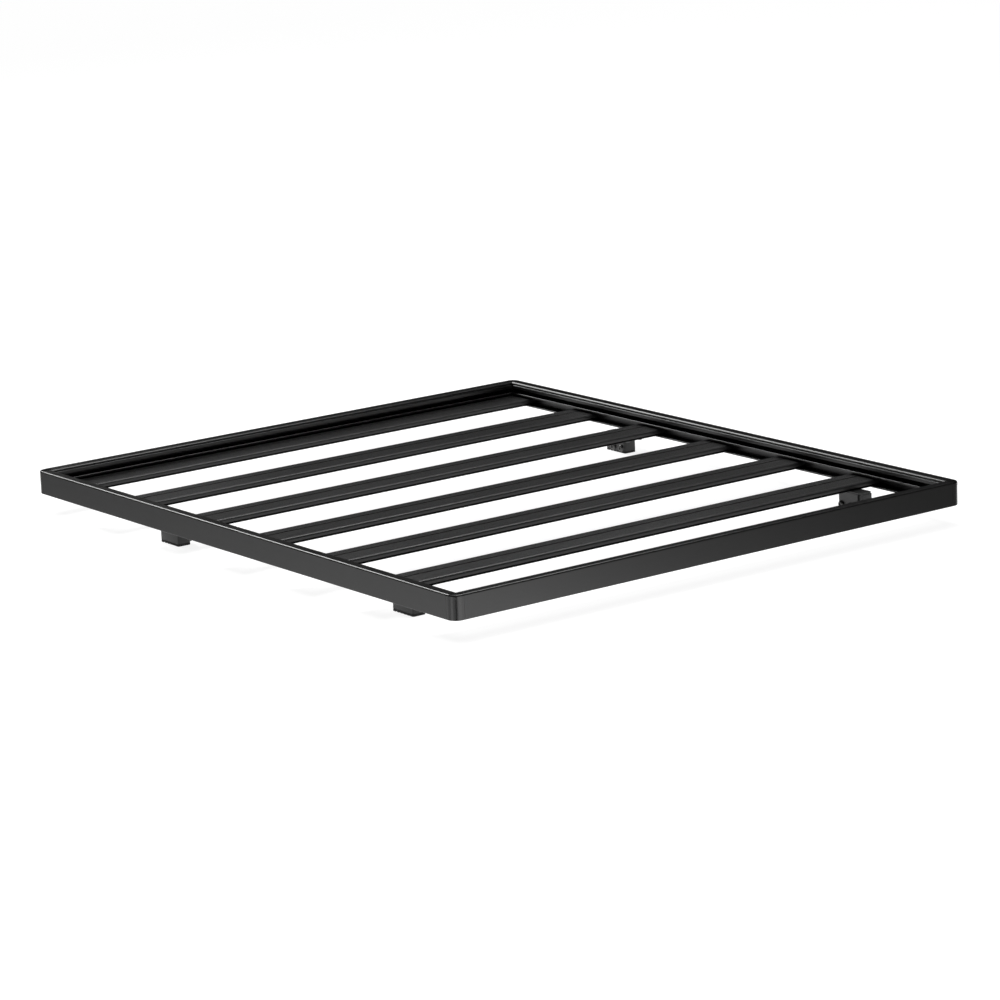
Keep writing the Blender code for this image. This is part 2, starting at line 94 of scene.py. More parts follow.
def rounded(corners: Sequence[tuple[Number, ...]], steps: int, support: float = 0.12) -> Array:
    """Closed outline in metres from corners given in millimetres.

    A corner (x, y, r) becomes the arc that touches both its sides: the touch points lie
    r / tan(half the angle) from the corner, and the arc blends its two radii by
    sin((1 - t) a) / sin a and sin(t a) / sin a. A short support strip lies on each side
    of the arc, so that the flats stay flat where they are shaded smooth.

    Args:
        corners: Corners in order, each with its radius; radius 0 stays sharp.
        steps: Number of chords in each arc.
        support: Width of the support strips in millimetres.

    Returns:
        Points of the outline, one row each.
    """
    table = np.array(corners, float)
    here, radius = table[:, :2], table[:, 2]
    before = unit(np.roll(here, 1, 0) - here)
    after = unit(np.roll(here, -1, 0) - here)
    half = np.arccos(np.clip((before * after).sum(1), -1, 1)) / 2
    reach = radius / np.tan(half)
    centre = here + unit(before + after) * (radius / np.sin(half))[:, None]
    sweep = np.pi - 2 * half
    a = here + before * reach[:, None] - centre
    b = here + after * reach[:, None] - centre
    t = np.linspace(0, 1, steps + 1)[None, :]
    safe = np.maximum(np.sin(sweep), 1e-9)[:, None]
    wa = np.sin((1 - t) * sweep[:, None]) / safe
    wb = np.sin(t * sweep[:, None]) / safe
    arcs = centre[:, None] + wa[..., None] * a[:, None] + wb[..., None] * b[:, None]
    lead = (here + before * (reach + support)[:, None])[:, None]
    tail = (here + after * (reach + support)[:, None])[:, None]
    points = np.concatenate([lead, arcs, tail], 1)
    place = np.arange(steps + 3)[None, :]
    keep = np.where(radius[:, None] > 0, True, place == 1)
    points[:, 1] = np.where(radius[:, None] > 0, points[:, 1], here)
    return points[keep] * MM


@dataclass(frozen=True)
class Placement:
    """Carries a flat outline along a straight path.

    An outline point (a, b) at station t lies at origin + a across + b up + t along.
    """

    origin: tuple[float, float, float]
    across: tuple[float, float, float]
    up: tuple[float, float, float]
    along: tuple[float, float, float]

    def lay(self, outline: Array, stations: Array) -> Array:
        """Rings of points, one ring for each station."""
        ring = outline[:, :1] * np.array(self.across) + outline[:, 1:2] * np.array(self.up)
        return np.array(self.origin) + ring[None] + stations[:, None, None] * np.array(self.along)


@dataclass
class Surface:
    """Points and faces of one piece, gathered patch by patch."""

    points: list[Array] = field(default_factory=list)
    faces: list[Array] = field(default_factory=list)
    count: int = 0

    def add(self, points: Array, faces: Array) -> None:
        """Adds points, and faces that number them from zero."""
        self.points.append(points.reshape(-1, 3))
        self.faces.append(faces + self.count)
        self.count += len(self.points[-1])

    def grid(self, points: Array, closed: bool = False) -> None:
        """Adds quads between the rows and columns of a grid of points.

        Args:
            points: Array of rows, columns and coordinates.
            closed: Whether the last column joins the first.
        """
        rows, columns = points.shape[:2]
        index = np.arange(rows * columns).reshape(rows, columns)
        if closed:
            index = np.concatenate([index, index[:, :1]], 1)
        quads = np.stack([index[:-1, :-1], index[:-1, 1:], index[1:, 1:], index[1:, :-1]], -1)
        self.add(points, quads.reshape(-1, 4))

    def close(self, rings: Sequence[Array], outlines: Sequence[Array]) -> None:
        """Adds a cap over rings of points: an outline and its holes, cut into triangles flat."""
        flat = [[Vector((*point, 0.0)) for point in outline] for outline in outlines]
        self.add(np.concatenate(rings), np.array(tessellate_polygon(flat), np.int64))

    def move(self, place: Sequence[float], mirror: Sequence[float] = (1.0, 1.0, 1.0)) -> None:
        """Multiplies every point by a factor on each axis, then moves it."""
        self.points = [points * np.array(mirror) + np.array(place) for points in self.points]

    def extrude(self, outlines: Sequence[Array], place: Placement,
                ends: tuple[float, float]) -> None:
        """Adds a closed bar: each outline carried from end to end, with both ends capped."""
        bars = [place.lay(outline, np.array(ends)) for outline in outlines]
        for bar in bars:
            self.grid(bar, closed=True)
        for end in range(len(ends)):
            self.close([bar[end] for bar in bars], outlines)

    def piece(self, name: str, material: bpy.types.Material,
              angle: float = 32.0) -> bpy.types.Object:
        """Makes the object: seams welded, faces turned outwards, round faces shaded smooth.

        Args:
            name: Name of the piece.
            material: Its coat.
            angle: Edges sharper than this many degrees stay crisp.

        Returns:
            The new object, at the origin with its place in its mesh.
        """
        mesh = bpy.data.meshes.new(name)
        points = np.concatenate(self.points)
        faces = [face for part in self.faces for face in part.tolist()]
        mesh.from_pydata(points.tolist(), [], faces)
        bm = bmesh.new()
        bm.from_mesh(mesh)
        bmesh.ops.remove_doubles(bm, verts=bm.verts, dist=WELD)
        bmesh.ops.recalc_face_normals(bm, faces=bm.faces)
        bm.to_mesh(mesh)
        bm.free()
        mesh.validate()
        mesh.shade_smooth()
        mesh.set_sharp_from_angle(angle=math.radians(angle))
        mesh.materials.append(material)
        obj = bpy.data.objects.new(name, mesh)
        bpy.context.scene.collection.objects.link(obj)
        return obj


def round_box(size: tuple[float, float], radius: float, levels: Array, steps: int = 6) -> Array:
    """Grid of rings round an upright box with rounded corners.

    A ring is the box outline drawn in by an inset: its half sides and its corner radius
    all shrink by that inset, and the corner points run round quarter circles.

    Args:
        size: Length of the two sides.
        radius: Radius of the upright corners.
        levels: Rows of (inset, height), from the bottom centre to the top centre.
        steps: Chords in each quarter circle.

    Returns:
        Points as rings, columns and coordinates, centred on the Z axis.
    """
    turn = np.linspace(0, np.pi / 2, steps + 1)
    quarter = np.arange(4)[:, None] * np.pi / 2 + turn[None, :]
    sign_x = np.array([1, -1, -1, 1])[:, None]
    sign_y = np.array([1, 1, -1, -1])[:, None]
    inset = levels[:, 0][:, None, None]
    arc = np.maximum(radius - inset, 0.0)
    half_x = np.maximum(size[0] / 2 - inset, 0.0)
    half_y = np.maximum(size[1] / 2 - inset, 0.0)
    x = sign_x * np.maximum(half_x - arc, 0) + arc * np.cos(quarter)
    y = sign_y * np.maximum(half_y - arc, 0) + arc * np.sin(quarter)
    z = np.broadcast_to(levels[:, 1][:, None, None], x.shape)
    return np.stack([x, y, z], -1).reshape(len(levels), -1, 3)


def eased(height: float, rim: float, deep: float, steps: int = 4) -> Array:
    """Levels of a block with rounded rims: (inset, height) rows that start and end at its axis.

    A rim's quarter circle has inset r (1 - sin t) below and r (1 - cos t) above.

    Args:
        height: Height of the block.
        rim: Radius of both rims.
        deep: Inset at which the flat ends close.
        steps: Chords in each rim.

    Returns:
        Rows of (inset, height).
    """
    t = np.linspace(0, np.pi / 2, steps + 1)
    strip = 0.15 * MM
    lower = rim * np.stack([1 - np.sin(t), 1 - np.cos(t)], 1)
    upper = np.stack([rim * (1 - np.cos(t)), height - rim * (1 - np.sin(t))], 1)
    rows = [[[deep, 0.0], [rim + strip, 0.0]], lower,
            [[0.0, rim + strip], [0.0, height - rim - strip]], upper,
            [[rim + strip, height], [deep, height]]]
    return np.concatenate([np.array(row) for row in rows])


def turned(profile: Sequence[tuple[float, float]], sides: int = 48,
           hexed: Sequence[int] = ()) -> Array:
    """Grid of a profile of (radius, height) turned round the Z axis.

    Rows named in hexed follow a hexagon instead of a circle: at angle a their radius is
    r cos 30 / cos(a' - 30), where a' is a taken modulo 60 degrees and r reaches the corners.

    Args:
        profile: Radius and height of each row.
        sides: Number of columns, a multiple of six.
        hexed: Rows drawn as hexagons.

    Returns:
        Points as rows, columns and coordinates.
    """
    table = np.array(profile)
    angle = np.arange(sides) * 2 * np.pi / sides
    hexagon = math.cos(math.pi / 6) / np.cos(np.mod(angle, np.pi / 3) - np.pi / 6)
    flag = np.isin(np.arange(len(table)), list(hexed))[:, None]
    radius = table[:, :1] * np.where(flag, hexagon[None], 1.0)
    z = np.broadcast_to(table[:, 1:2], radius.shape)
    return np.stack([radius * np.cos(angle), radius * np.sin(angle), z], -1)


def fall(distance: Array, radius: float) -> Array:
    """Drop of a rounded edge: r - sqrt(r^2 - (r - d)^2) within the radius of it, else 0."""
    inside = np.clip(radius - distance, 0, radius)
    return radius - np.sqrt(np.maximum(radius ** 2 - inside ** 2, 0))


def point_at(points: Array, seat: Sequence[float], axis: Sequence[float]) -> Array:
    """Points built round Z, turned so that Z points along an axis, with their origin at a seat."""
    turn = Vector((0, 0, 1)).rotation_difference(Vector(axis)).to_matrix()
    return points @ np.array(turn).T + np.array(seat)


# ------------------------- shader building
class Wire:
    """A value socket that takes Python arithmetic; every operator adds one Math node."""

    def __init__(self, board: "Board", socket: bpy.types.NodeSocket) -> None:
        """Keeps the socket and the board that it belongs to."""
        self.board = board
        self.socket = socket

    def math(self, operation: str, *others: "Wire | Number",
             first: "Wire | Number | None" = None) -> "Wire":
        """One Math node.

        Args:
            operation: Blender's name of the operation.
            others: Values after this one.
            first: Value before this one, for reflected operators.

        Returns:
            The wire that leaves the node.
        """
        values = [self, *others] if first is None else [first, self]
        node = self.board.node("ShaderNodeMath", {"operation": operation}, dict(enumerate(values)))
        return Wire(self.board, node.outputs[0])

    def __add__(self, other: "Wire | Number") -> "Wire":
        """Sum."""
        return self.math("ADD", other)

    __radd__ = __add__

    def __sub__(self, other: "Wire | Number") -> "Wire":
        """Difference."""
        return self.math("SUBTRACT", other)

    def __rsub__(self, other: "Wire | Number") -> "Wire":
        """Difference, reflected."""
        return self.math("SUBTRACT", first=other)

    def __mul__(self, other: "Wire | Number") -> "Wire":
        """Product."""
        return self.math("MULTIPLY", other)

    __rmul__ = __mul__

    def __truediv__(self, other: "Wire | Number") -> "Wire":
        """Quotient."""
        return self.math("DIVIDE", other)

    def __rpow__(self, other: "Wire | Number") -> "Wire":
        """Power, reflected."""
        return self.math("POWER", first=other)

    def clip(self) -> "Wire":
        """The value kept between 0 and 1."""
        return self.math("MAXIMUM", 0.0).math("MINIMUM", 1.0)

    def over(self, low: float, high: float) -> "Wire":
        """0 below low, 1 above high and straight between them."""
        return ((self - low) / (high - low)).clip()


class Board:
    """The node tree of one material."""

    def __init__(self, name: str) -> None:
        """Starts a material with only its output."""
        self.material = bpy.data.materials.new(name)
        self.material.use_nodes = True
        self.tree = self.material.node_tree
        self.tree.nodes.clear()
        self.place = self.node("ShaderNodeTexCoord").outputs["Object"]

    def node(self, kind: str, settings: dict[str, Any] | None = None,
             values: dict[str | int, Any] | None = None) -> bpy.types.Node:
        """Adds a node.

        Args:
            kind: Blender's node type.
            settings: Its settings, set first.
            values: Values, wires or sockets for its inputs, by name or number.

        Returns:
            The node.
        """
        made = self.tree.nodes.new(kind)
        for key, value in (settings or {}).items():
            setattr(made, key, value)
        for key, value in (values or {}).items():
            if isinstance(value, Wire):
                value = value.socket
            if isinstance(value, bpy.types.NodeSocket):
                self.tree.links.new(value, made.inputs[key])
            else:
                made.inputs[key].default_value = value
        return made

    def noise(self, scale: float, detail: float = 2.0, rough: float = 0.5,
              stretch: tuple[float, float, float] = (1.0, 1.0, 1.0)) -> Wire:
        """Noise on object coordinates, from 0 to 1.

        Args:
            scale: Features per metre.
            detail: Octaves.
            rough: Share that each octave keeps.
            stretch: Factors on the coordinates, for drawn or brushed grain.

        Returns:
            The value.
        """
        laid = self.node("ShaderNodeMapping", None, {"Vector": self.place, "Scale": stretch})
        made = self.node("ShaderNodeTexNoise", None, {"Vector": laid.outputs[0], "Scale": scale,
                                                      "Detail": detail, "Roughness": rough})
        return Wire(self, made.outputs[0])

    def split(self, vector: bpy.types.NodeSocket) -> tuple[Wire, Wire, Wire]:
        """The three parts of a vector."""
        made = self.node("ShaderNodeSeparateXYZ", None, {0: vector})
        return tuple(Wire(self, output) for output in made.outputs)

    def blend(self, share: Wire | Number, first: Any, second: Any) -> bpy.types.NodeSocket:
        """Colour between two colours, by a share from 0 to 1."""
        made = self.node("ShaderNodeMix", {"data_type": "RGBA"}, {0: share, 6: first, 7: second})
        return made.outputs[2]

    def bump(self, height: Wire, distance: float, strength: float,
             below: bpy.types.NodeSocket | None = None) -> bpy.types.NodeSocket:
        """Normal raised by a height map, on top of another bump where one is given."""
        values: dict[str | int, Any] = {
            "Height": height, "Distance": distance, "Strength": strength}
        if below is not None:
            values["Normal"] = below
        return self.node("ShaderNodeBump", None, values).outputs[0]

    def close(self, varying: dict[str, Any], constant: dict[str, Any]) -> bpy.types.Material:
        """Ends the tree in one Principled shader and its output.

        Args:
            varying: Sockets that feed the shader.
            constant: Plain values set on the shader's own sockets.

        Returns:
            The finished material.
        """
        shader = self.node("ShaderNodeBsdfPrincipled", None, {**constant, **varying})
        self.node("ShaderNodeOutputMaterial", None, {0: shader.outputs[0]})
        return self.material


def shade(grey: float, warm: float = 0.0) -> tuple[float, float, float, float]:
    """Grey as a colour, with a little warmth where it is asked for."""
    return (grey * (1 + warm), grey, grey * (1 - warm), 1.0)


# ------------------------- finishes
@dataclass(frozen=True)
class PowderCoat:
    """Satin black powder coat: orange peel, fine grain and faint clouds in its gloss."""

    name: str
    grey: float = 0.004
    rough: float = 0.32
    peel: float = 0.30
    grain: float = 0.25
    specular: float = 0.5

    def material(self) -> bpy.types.Material:
        """Builds the coat."""
        board = Board(self.name)
        peel = board.noise(420.0, 2.0, 0.45)
        grain = board.noise(2600.0, 2.0, 0.6)
        cloud = board.noise(5.5, 3.0, 0.55)
        flow = board.noise(38.0, 3.0, 0.55)
        speck = board.noise(1500.0, 1.0).over(0.64, 0.74)
        tone = (cloud * 0.5 + flow * 0.25 + grain * 0.25).over(0.3, 0.7)
        colour = board.blend(tone, shade(self.grey * 0.86), shade(self.grey * 1.14))
        colour = board.blend(speck * 0.35, colour, shade(self.grey * 2.1))
        rough = (cloud - 0.5) * 0.10 + (flow - 0.5) * 0.08 + (grain - 0.5) * 0.10 + self.rough
        relief = board.bump(peel, 0.00025, self.peel)
        relief = board.bump(grain, 0.00008, self.grain, relief)
        return board.close({"Base Color": colour, "Roughness": rough.clip(), "Normal": relief},
                           {"Specular IOR Level": self.specular, "IOR": 1.5})


@dataclass(frozen=True)
class SlatCoat:
    """Textured black coat over the ribbed slats, with a painted highlight that lightens the crests
    of the ribs, which are also a little less rough.
    """

    name: str
    grey: float = 0.009
    rough: float = 0.42
    crest: float = 51.7 * MM
    depth: float = 0.16 * MM

    def material(self) -> bpy.types.Material:
        """Builds the coat."""
        board = Board(self.name)
        _, _, z = board.split(board.place)
        # painted highlight: mask of the rib crests, which get a lighter colour; the same mask also
        # lowers their roughness a little
        crest_polish_and_highlight = z.over(self.crest - self.depth, self.crest)
        grain = board.noise(1500.0, 2.0, 0.6)
        peel = board.noise(520.0, 2.0, 0.5)
        cloud = board.noise(7.0, 3.0, 0.55, (0.35, 1.0, 1.0))
        fleck = board.node("ShaderNodeTexVoronoi", {"feature": "F1"},
                           {"Vector": board.place, "Scale": 900.0})
        fleck = 1.0 - Wire(board, fleck.outputs["Distance"]).over(0.05, 0.35)
        tone = (cloud * 0.6 + grain * 0.4).over(0.3, 0.7)
        colour = board.blend(tone, shade(self.grey * 0.82), shade(self.grey * 1.15))
        # painted highlight on the rib crests, broken up by the grain
        colour = board.blend(crest_polish_and_highlight * 0.30 * grain, colour, shade(self.grey * 2.2))
        colour = board.blend(fleck * 0.12, colour, shade(self.grey * 1.9))
        rough = (cloud - 0.5) * 0.12 + (grain - 0.5) * 0.12 + self.rough - crest_polish_and_highlight * 0.04
        relief = board.bump(peel, 0.0003, 0.4)
        relief = board.bump(grain, 0.00012, 0.35, relief)
        return board.close({"Base Color": colour, "Roughness": rough.clip(), "Normal": relief},
                           {"Specular IOR Level": 0.5, "IOR": 1.5})


@dataclass(frozen=True)
class MouldedRubber:
    """Matt black rubber with a fine moulded grain and a dusty bloom low down."""

    name: str
    grey: float = 0.016
    rough: float = 0.78

    def material(self) -> bpy.types.Material:
        """Builds the rubber."""
        board = Board(self.name)
        _, _, z = board.split(board.place)
        grain = board.noise(1900.0, 3.0, 0.6)
        patch = board.noise(45.0, 4.0, 0.6)
        bloom = (1.0 - z.over(0.0, 0.003)) * patch.over(0.4, 0.8)
        colour = board.blend(grain.over(0.3, 0.7), shade(self.grey * 0.8), shade(self.grey * 1.25))
        colour = board.blend(bloom * 0.35, colour, shade(self.grey * 3.0, 0.04))
        rough = (patch - 0.5) * 0.15 + (grain - 0.5) * 0.1 + self.rough
        relief = board.bump(grain, 0.0002, 0.5)
        return board.close({"Base Color": colour, "Roughness": rough.clip(), "Normal": relief},
                           {"Specular IOR Level": 0.4, "IOR": 1.5})


@dataclass(frozen=True)
class OxideSteel:
    """Black oxide on turned steel: dark metal with fine drawn marks and lighter rubbed spots."""

    name: str
    grey: float = 0.075
    rough: float = 0.34

    def material(self) -> bpy.types.Material:
        """Builds the oxide."""
        board = Board(self.name)
        marks = board.noise(1400.0, 3.0, 0.6, (1.0, 1.0, 3.5))
        patch = board.noise(160.0, 3.0, 0.6)
        rubbed = board.noise(420.0, 2.0, 0.5).over(0.58, 0.74)
        colour = board.blend(patch.over(0.35, 0.65), shade(self.grey * 0.75, -0.02),
                             shade(self.grey * 1.3, 0.03))
        colour = board.blend(rubbed * 0.4, colour, shade(self.grey * 2.6))
        rough = (patch - 0.5) * 0.2 + (marks - 0.5) * 0.12 + self.rough
        relief = board.bump(marks, 0.00006, 0.4)
        return board.close({"Base Color": colour, "Roughness": rough.clip(), "Normal": relief},
                           {"Metallic": 0.85, "Specular IOR Level": 0.5})


@dataclass
class Coats:
    """One material for each slot of the record."""

    made: dict[Slot, bpy.types.Material] = field(default_factory=dict)

    def __post_init__(self) -> None:
        """Builds every finish once."""
        finishes = {
            Slot.RAIL: PowderCoat("rail_powder_coat"),
            Slot.CORNER: PowderCoat("corner_powder_coat", grey=0.004, rough=0.25, peel=0.3),
            Slot.SLAT: SlatCoat("slat_textured_coat"),
            Slot.FOOT: PowderCoat("foot_cast_coat", grey=0.010, rough=0.42, peel=0.5, grain=0.4),
            Slot.BRACKET: PowderCoat("bracket_steel_coat", grey=0.008, rough=0.36, peel=0.3),
            Slot.PAD: MouldedRubber("pad_moulded_rubber"),
            Slot.BOLT: OxideSteel("bolt_black_oxide"),
        }
        self.made = {slot: finish.material() for slot, finish in finishes.items()}

    def fit(self, surface: Surface, node: str, kind: str, slot: Slot,
            angle: float = 32.0) -> bpy.types.Object:
        """Makes a surface the coated piece that stands for a CAD node, on the rack's one body.

        Args:
            surface: The finished surface.
            node: CAD node that the piece replaces.
            kind: How the piece is made, the last word of its name.
            slot: Material slot of the record.
            angle: Edges sharper than this many degrees stay crisp.

        Returns:
            The piece.
        """
        obj = surface.piece(f"{node}_{kind}", self.made[slot], angle)
        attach(obj, "root")
        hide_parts(node)
        LOG.info("%s stands for %s with %d faces", obj.name, node, len(obj.data.polygons))
        return obj


# ------------------------- sub-assemblies
@dataclass
class Rack:
    """Overall sizes shared by the sub-assemblies."""

    width: float = 1165 * MM
    length: float = 1358 * MM
    base: float = 36.5 * MM
    gap: float = 0.3 * MM
    slat_z: float = 39.3 * MM
    slat_count: int = 7
    slat_width: float = 73 * MM
    slat_clear: float = 3.8 * MM
    channel: float = 12 * MM

    def slat_centres(self) -> Array:
        """Y positions of the slats, evenly spaced between the end rails' walls."""
        first = self.length / 2 - self.slat_clear - self.slat_width / 2
        return np.linspace(-first, first, self.slat_count)

    def bolt_rows(self) -> Array:
        """Y positions of the slat bolts, in the channel nearer the rack's middle."""
        centres = self.slat_centres()
        return centres + np.where(centres < self.channel, self.channel, -self.channel)


@dataclass
class PerimeterRails:
    """Four hollow rails with a slat recess, an inward slot and rounded top edges."""

    rack: Rack
    width_mm: float = 22.0
    height_mm: float = 45.0
    wall_mm: float = 3.5
    flange_mm: float = 2.5
    lip_mm: tuple[float, float] = (19.0, 22.7)
    shelf_mm: float = 21.0
    mouth_mm: float = 32.0
    roof_mm: float = 34.5
    nib_mm: float = 2.5
    bead_mm: float = 39.0
    bead_deep_mm: float = 0.8
    chamber_mm: tuple[float, float] = (36.5, 42.5)
    outer_edge_mm: float = 3.2
    inner_edge_mm: float = 5.0

    def section(self) -> list[Array]:
        """Outline and chamber of the rail: first axis inwards, second up from the underside."""
        w, h, wall, nib = self.width_mm, self.height_mm, self.wall_mm, self.nib_mm
        low, high = self.lip_mm
        bead, deep = self.bead_mm, self.bead_deep_mm
        outer = [
            (0, 0, 1.0), (w, 0, 0.6), (w, self.flange_mm, 0.6), (wall, self.flange_mm, 1.0),
            (wall, low, 1.0), (w, low, 0.6), (w, high, 1.5), (w - nib, high, 0.2),
            (w - nib, self.shelf_mm, 0.2), (wall, self.shelf_mm, 0.4), (wall, self.roof_mm, 0.4),
            (w - nib, self.roof_mm, 0.2), (w - nib, self.mouth_mm, 0.2), (w, self.mouth_mm, 0.6),
            (w, bead - deep, 0.15), (w - deep, bead, 0.1), (w, bead + deep, 0.15),
            (w, h, self.inner_edge_mm), (0, h, self.outer_edge_mm)]
        floor, roof = self.chamber_mm
        chamber = [(wall, floor, 0.5), (w - nib, floor, 0.5),
                   (w - nib, roof, 2.5), (wall, roof, 0.5)]
        return [rounded(outer, 9, 0.05), rounded(chamber, 4)]

    def placement(self, side: Side | End) -> tuple[Placement, float]:
        """Path of one rail and half its length."""
        s, rack = float(side.value), self.rack
        short = self.width_mm * MM + rack.gap
        if isinstance(side, Side):
            path = Placement((s * rack.width / 2, 0, rack.base), (-s, 0, 0), (0, 0, 1), (0, 1, 0))
            return path, rack.length / 2 - short
        path = Placement((0, s * rack.length / 2, rack.base), (0, -s, 0), (0, 0, 1), (1, 0, 0))
        return path, rack.width / 2 - short

    def build(self, coats: Coats) -> None:
        """Builds the four rails."""
        outlines = self.section()
        for side in (*Side, *End):
            path, half = self.placement(side)
            surface = Surface()
            surface.extrude(outlines, path, (-half, half))
            coats.fit(surface, f"rail_{side.name.lower()}", "extrusion", Slot.RAIL)


@dataclass
class CornerCastings:
    """Four cast corners with a plan radius, and spigots driven into the rail chambers."""

    rack: Rack
    side: float = 22 * MM
    height: float = 45 * MM
    plan: float = 18 * MM
    plan_steps: int = 20
    outer_edge: float = 3.2 * MM
    inner_edge: float = 5.0 * MM
    foot_edge: float = 1.0 * MM
    support: float = 0.1 * MM
    tongue_z: tuple[float, float] = (36.8 * MM, 41.7 * MM)
    tongue_wide: float = 14.4 * MM
    tongue_long: float = 44 * MM
    tongue_at: tuple[float, float] = (11.0 * MM, 6 * MM)

    def outer_line(self) -> tuple[Array, Array]:
        """Outside of the corner in plan, and its inward direction.

        It runs up one flat, round a quarter circle of the plan radius and along the other
        flat. The inward direction is square to the flats and points at the centre on the arc.

        Returns:
            Points and directions, one row each.
        """
        turn = np.linspace(np.pi, 1.5 * np.pi, self.plan_steps + 1)
        arc = self.plan + self.plan * np.stack([np.cos(turn), np.sin(turn)], 1)
        inward = -np.stack([np.cos(turn), np.sin(turn)], 1)
        flat = self.plan + 4 * self.support
        first = np.array([[0.0, self.side], [0.0, flat]])
        last = np.array([[flat, 0.0], [self.side, 0.0]])
        points = np.concatenate([first, arc, last])
        along_x, along_y = np.array([[1.0, 0.0]] * 2), np.array([[0.0, 1.0]] * 2)
        return points, np.concatenate([along_x, inward, along_y])

    def shell(self) -> Array:
        """Grid over the corner, from the foot of its inner edge round outside to its top.

        Rows go up the outside: a small rim below, the face, then the rounded top edge. From
        there straight rows run to the inner corner, where the height is the full height less
        the smaller of the two rails' inner roundings.
        """
        line, inward = self.outer_line()
        t = np.linspace(0, np.pi / 2, 6)
        low = np.stack([self.foot_edge * (1 - np.sin(t)), self.foot_edge * (1 - np.cos(t))], 1)
        t = np.linspace(0, np.pi / 2, 10)
        top = self.height - self.outer_edge
        high = np.stack([self.outer_edge * (1 - np.cos(t)), top + self.outer_edge * np.sin(t)], 1)
        strip = np.array([[0.0, self.foot_edge + self.support], [0.0, top - self.support]])
        rows = np.concatenate([low, strip, high])
        levels = np.broadcast_to(rows[:, None, 1:], (len(rows), len(line), 1))
        outside = np.concatenate([line[None] + rows[:, None, :1] * inward[None], levels], -1)
        inner = np.array([self.side, self.side])
        share = np.concatenate([[0.03], np.linspace(0.1, 1, 24)])[:, None, None]
        rim = outside[-1, :, :2][None]
        deck = rim + share * (inner - rim)
        drop = fall(self.side - deck, self.inner_edge).min(-1, keepdims=True)
        deck = np.concatenate([deck, self.height - drop], -1)
        start = np.broadcast_to(np.array([self.side, self.side, 0.0]), (1, len(line), 3))
        return np.concatenate([start, outside, deck])

    def build(self, coats: Coats) -> None:
        """Builds the four corners."""
        grid = self.shell()
        for end, side in product(End, Side):
            surface = Surface()
            surface.grid(grid)
            for column in (0, -1):
                ring = grid[:, column]
                surface.close([ring], [np.stack([ring[:, 0] + ring[:, 1], ring[:, 2]], 1)])
            self.spigots(surface)
            sx, sy = side.value, end.value
            corner = (sx * self.rack.width / 2, sy * self.rack.length / 2, self.rack.base)
            surface.move(corner, (-sx, -sy, 1.0))
            label = f"corner_{end.name.lower()}_{side.name.lower()}"
            coats.fit(surface, label, "casting", Slot.CORNER)

    def spigots(self, surface: Surface) -> None:
        """Adds the two tongues that stand in the rails' upper chambers."""
        low, high = self.tongue_z
        levels = eased(self.tongue_long, 0.8 * MM, 2.4 * MM)
        bar = round_box((self.tongue_wide, high - low), 1.0 * MM, levels)
        middle = (*self.tongue_at, (low + high) / 2)
        along_y = np.stack([bar[..., 0], bar[..., 2], bar[..., 1]], -1) + np.array(middle)
        surface.grid(along_y, closed=True)
        surface.grid(along_y[..., [1, 0, 2]], closed=True)


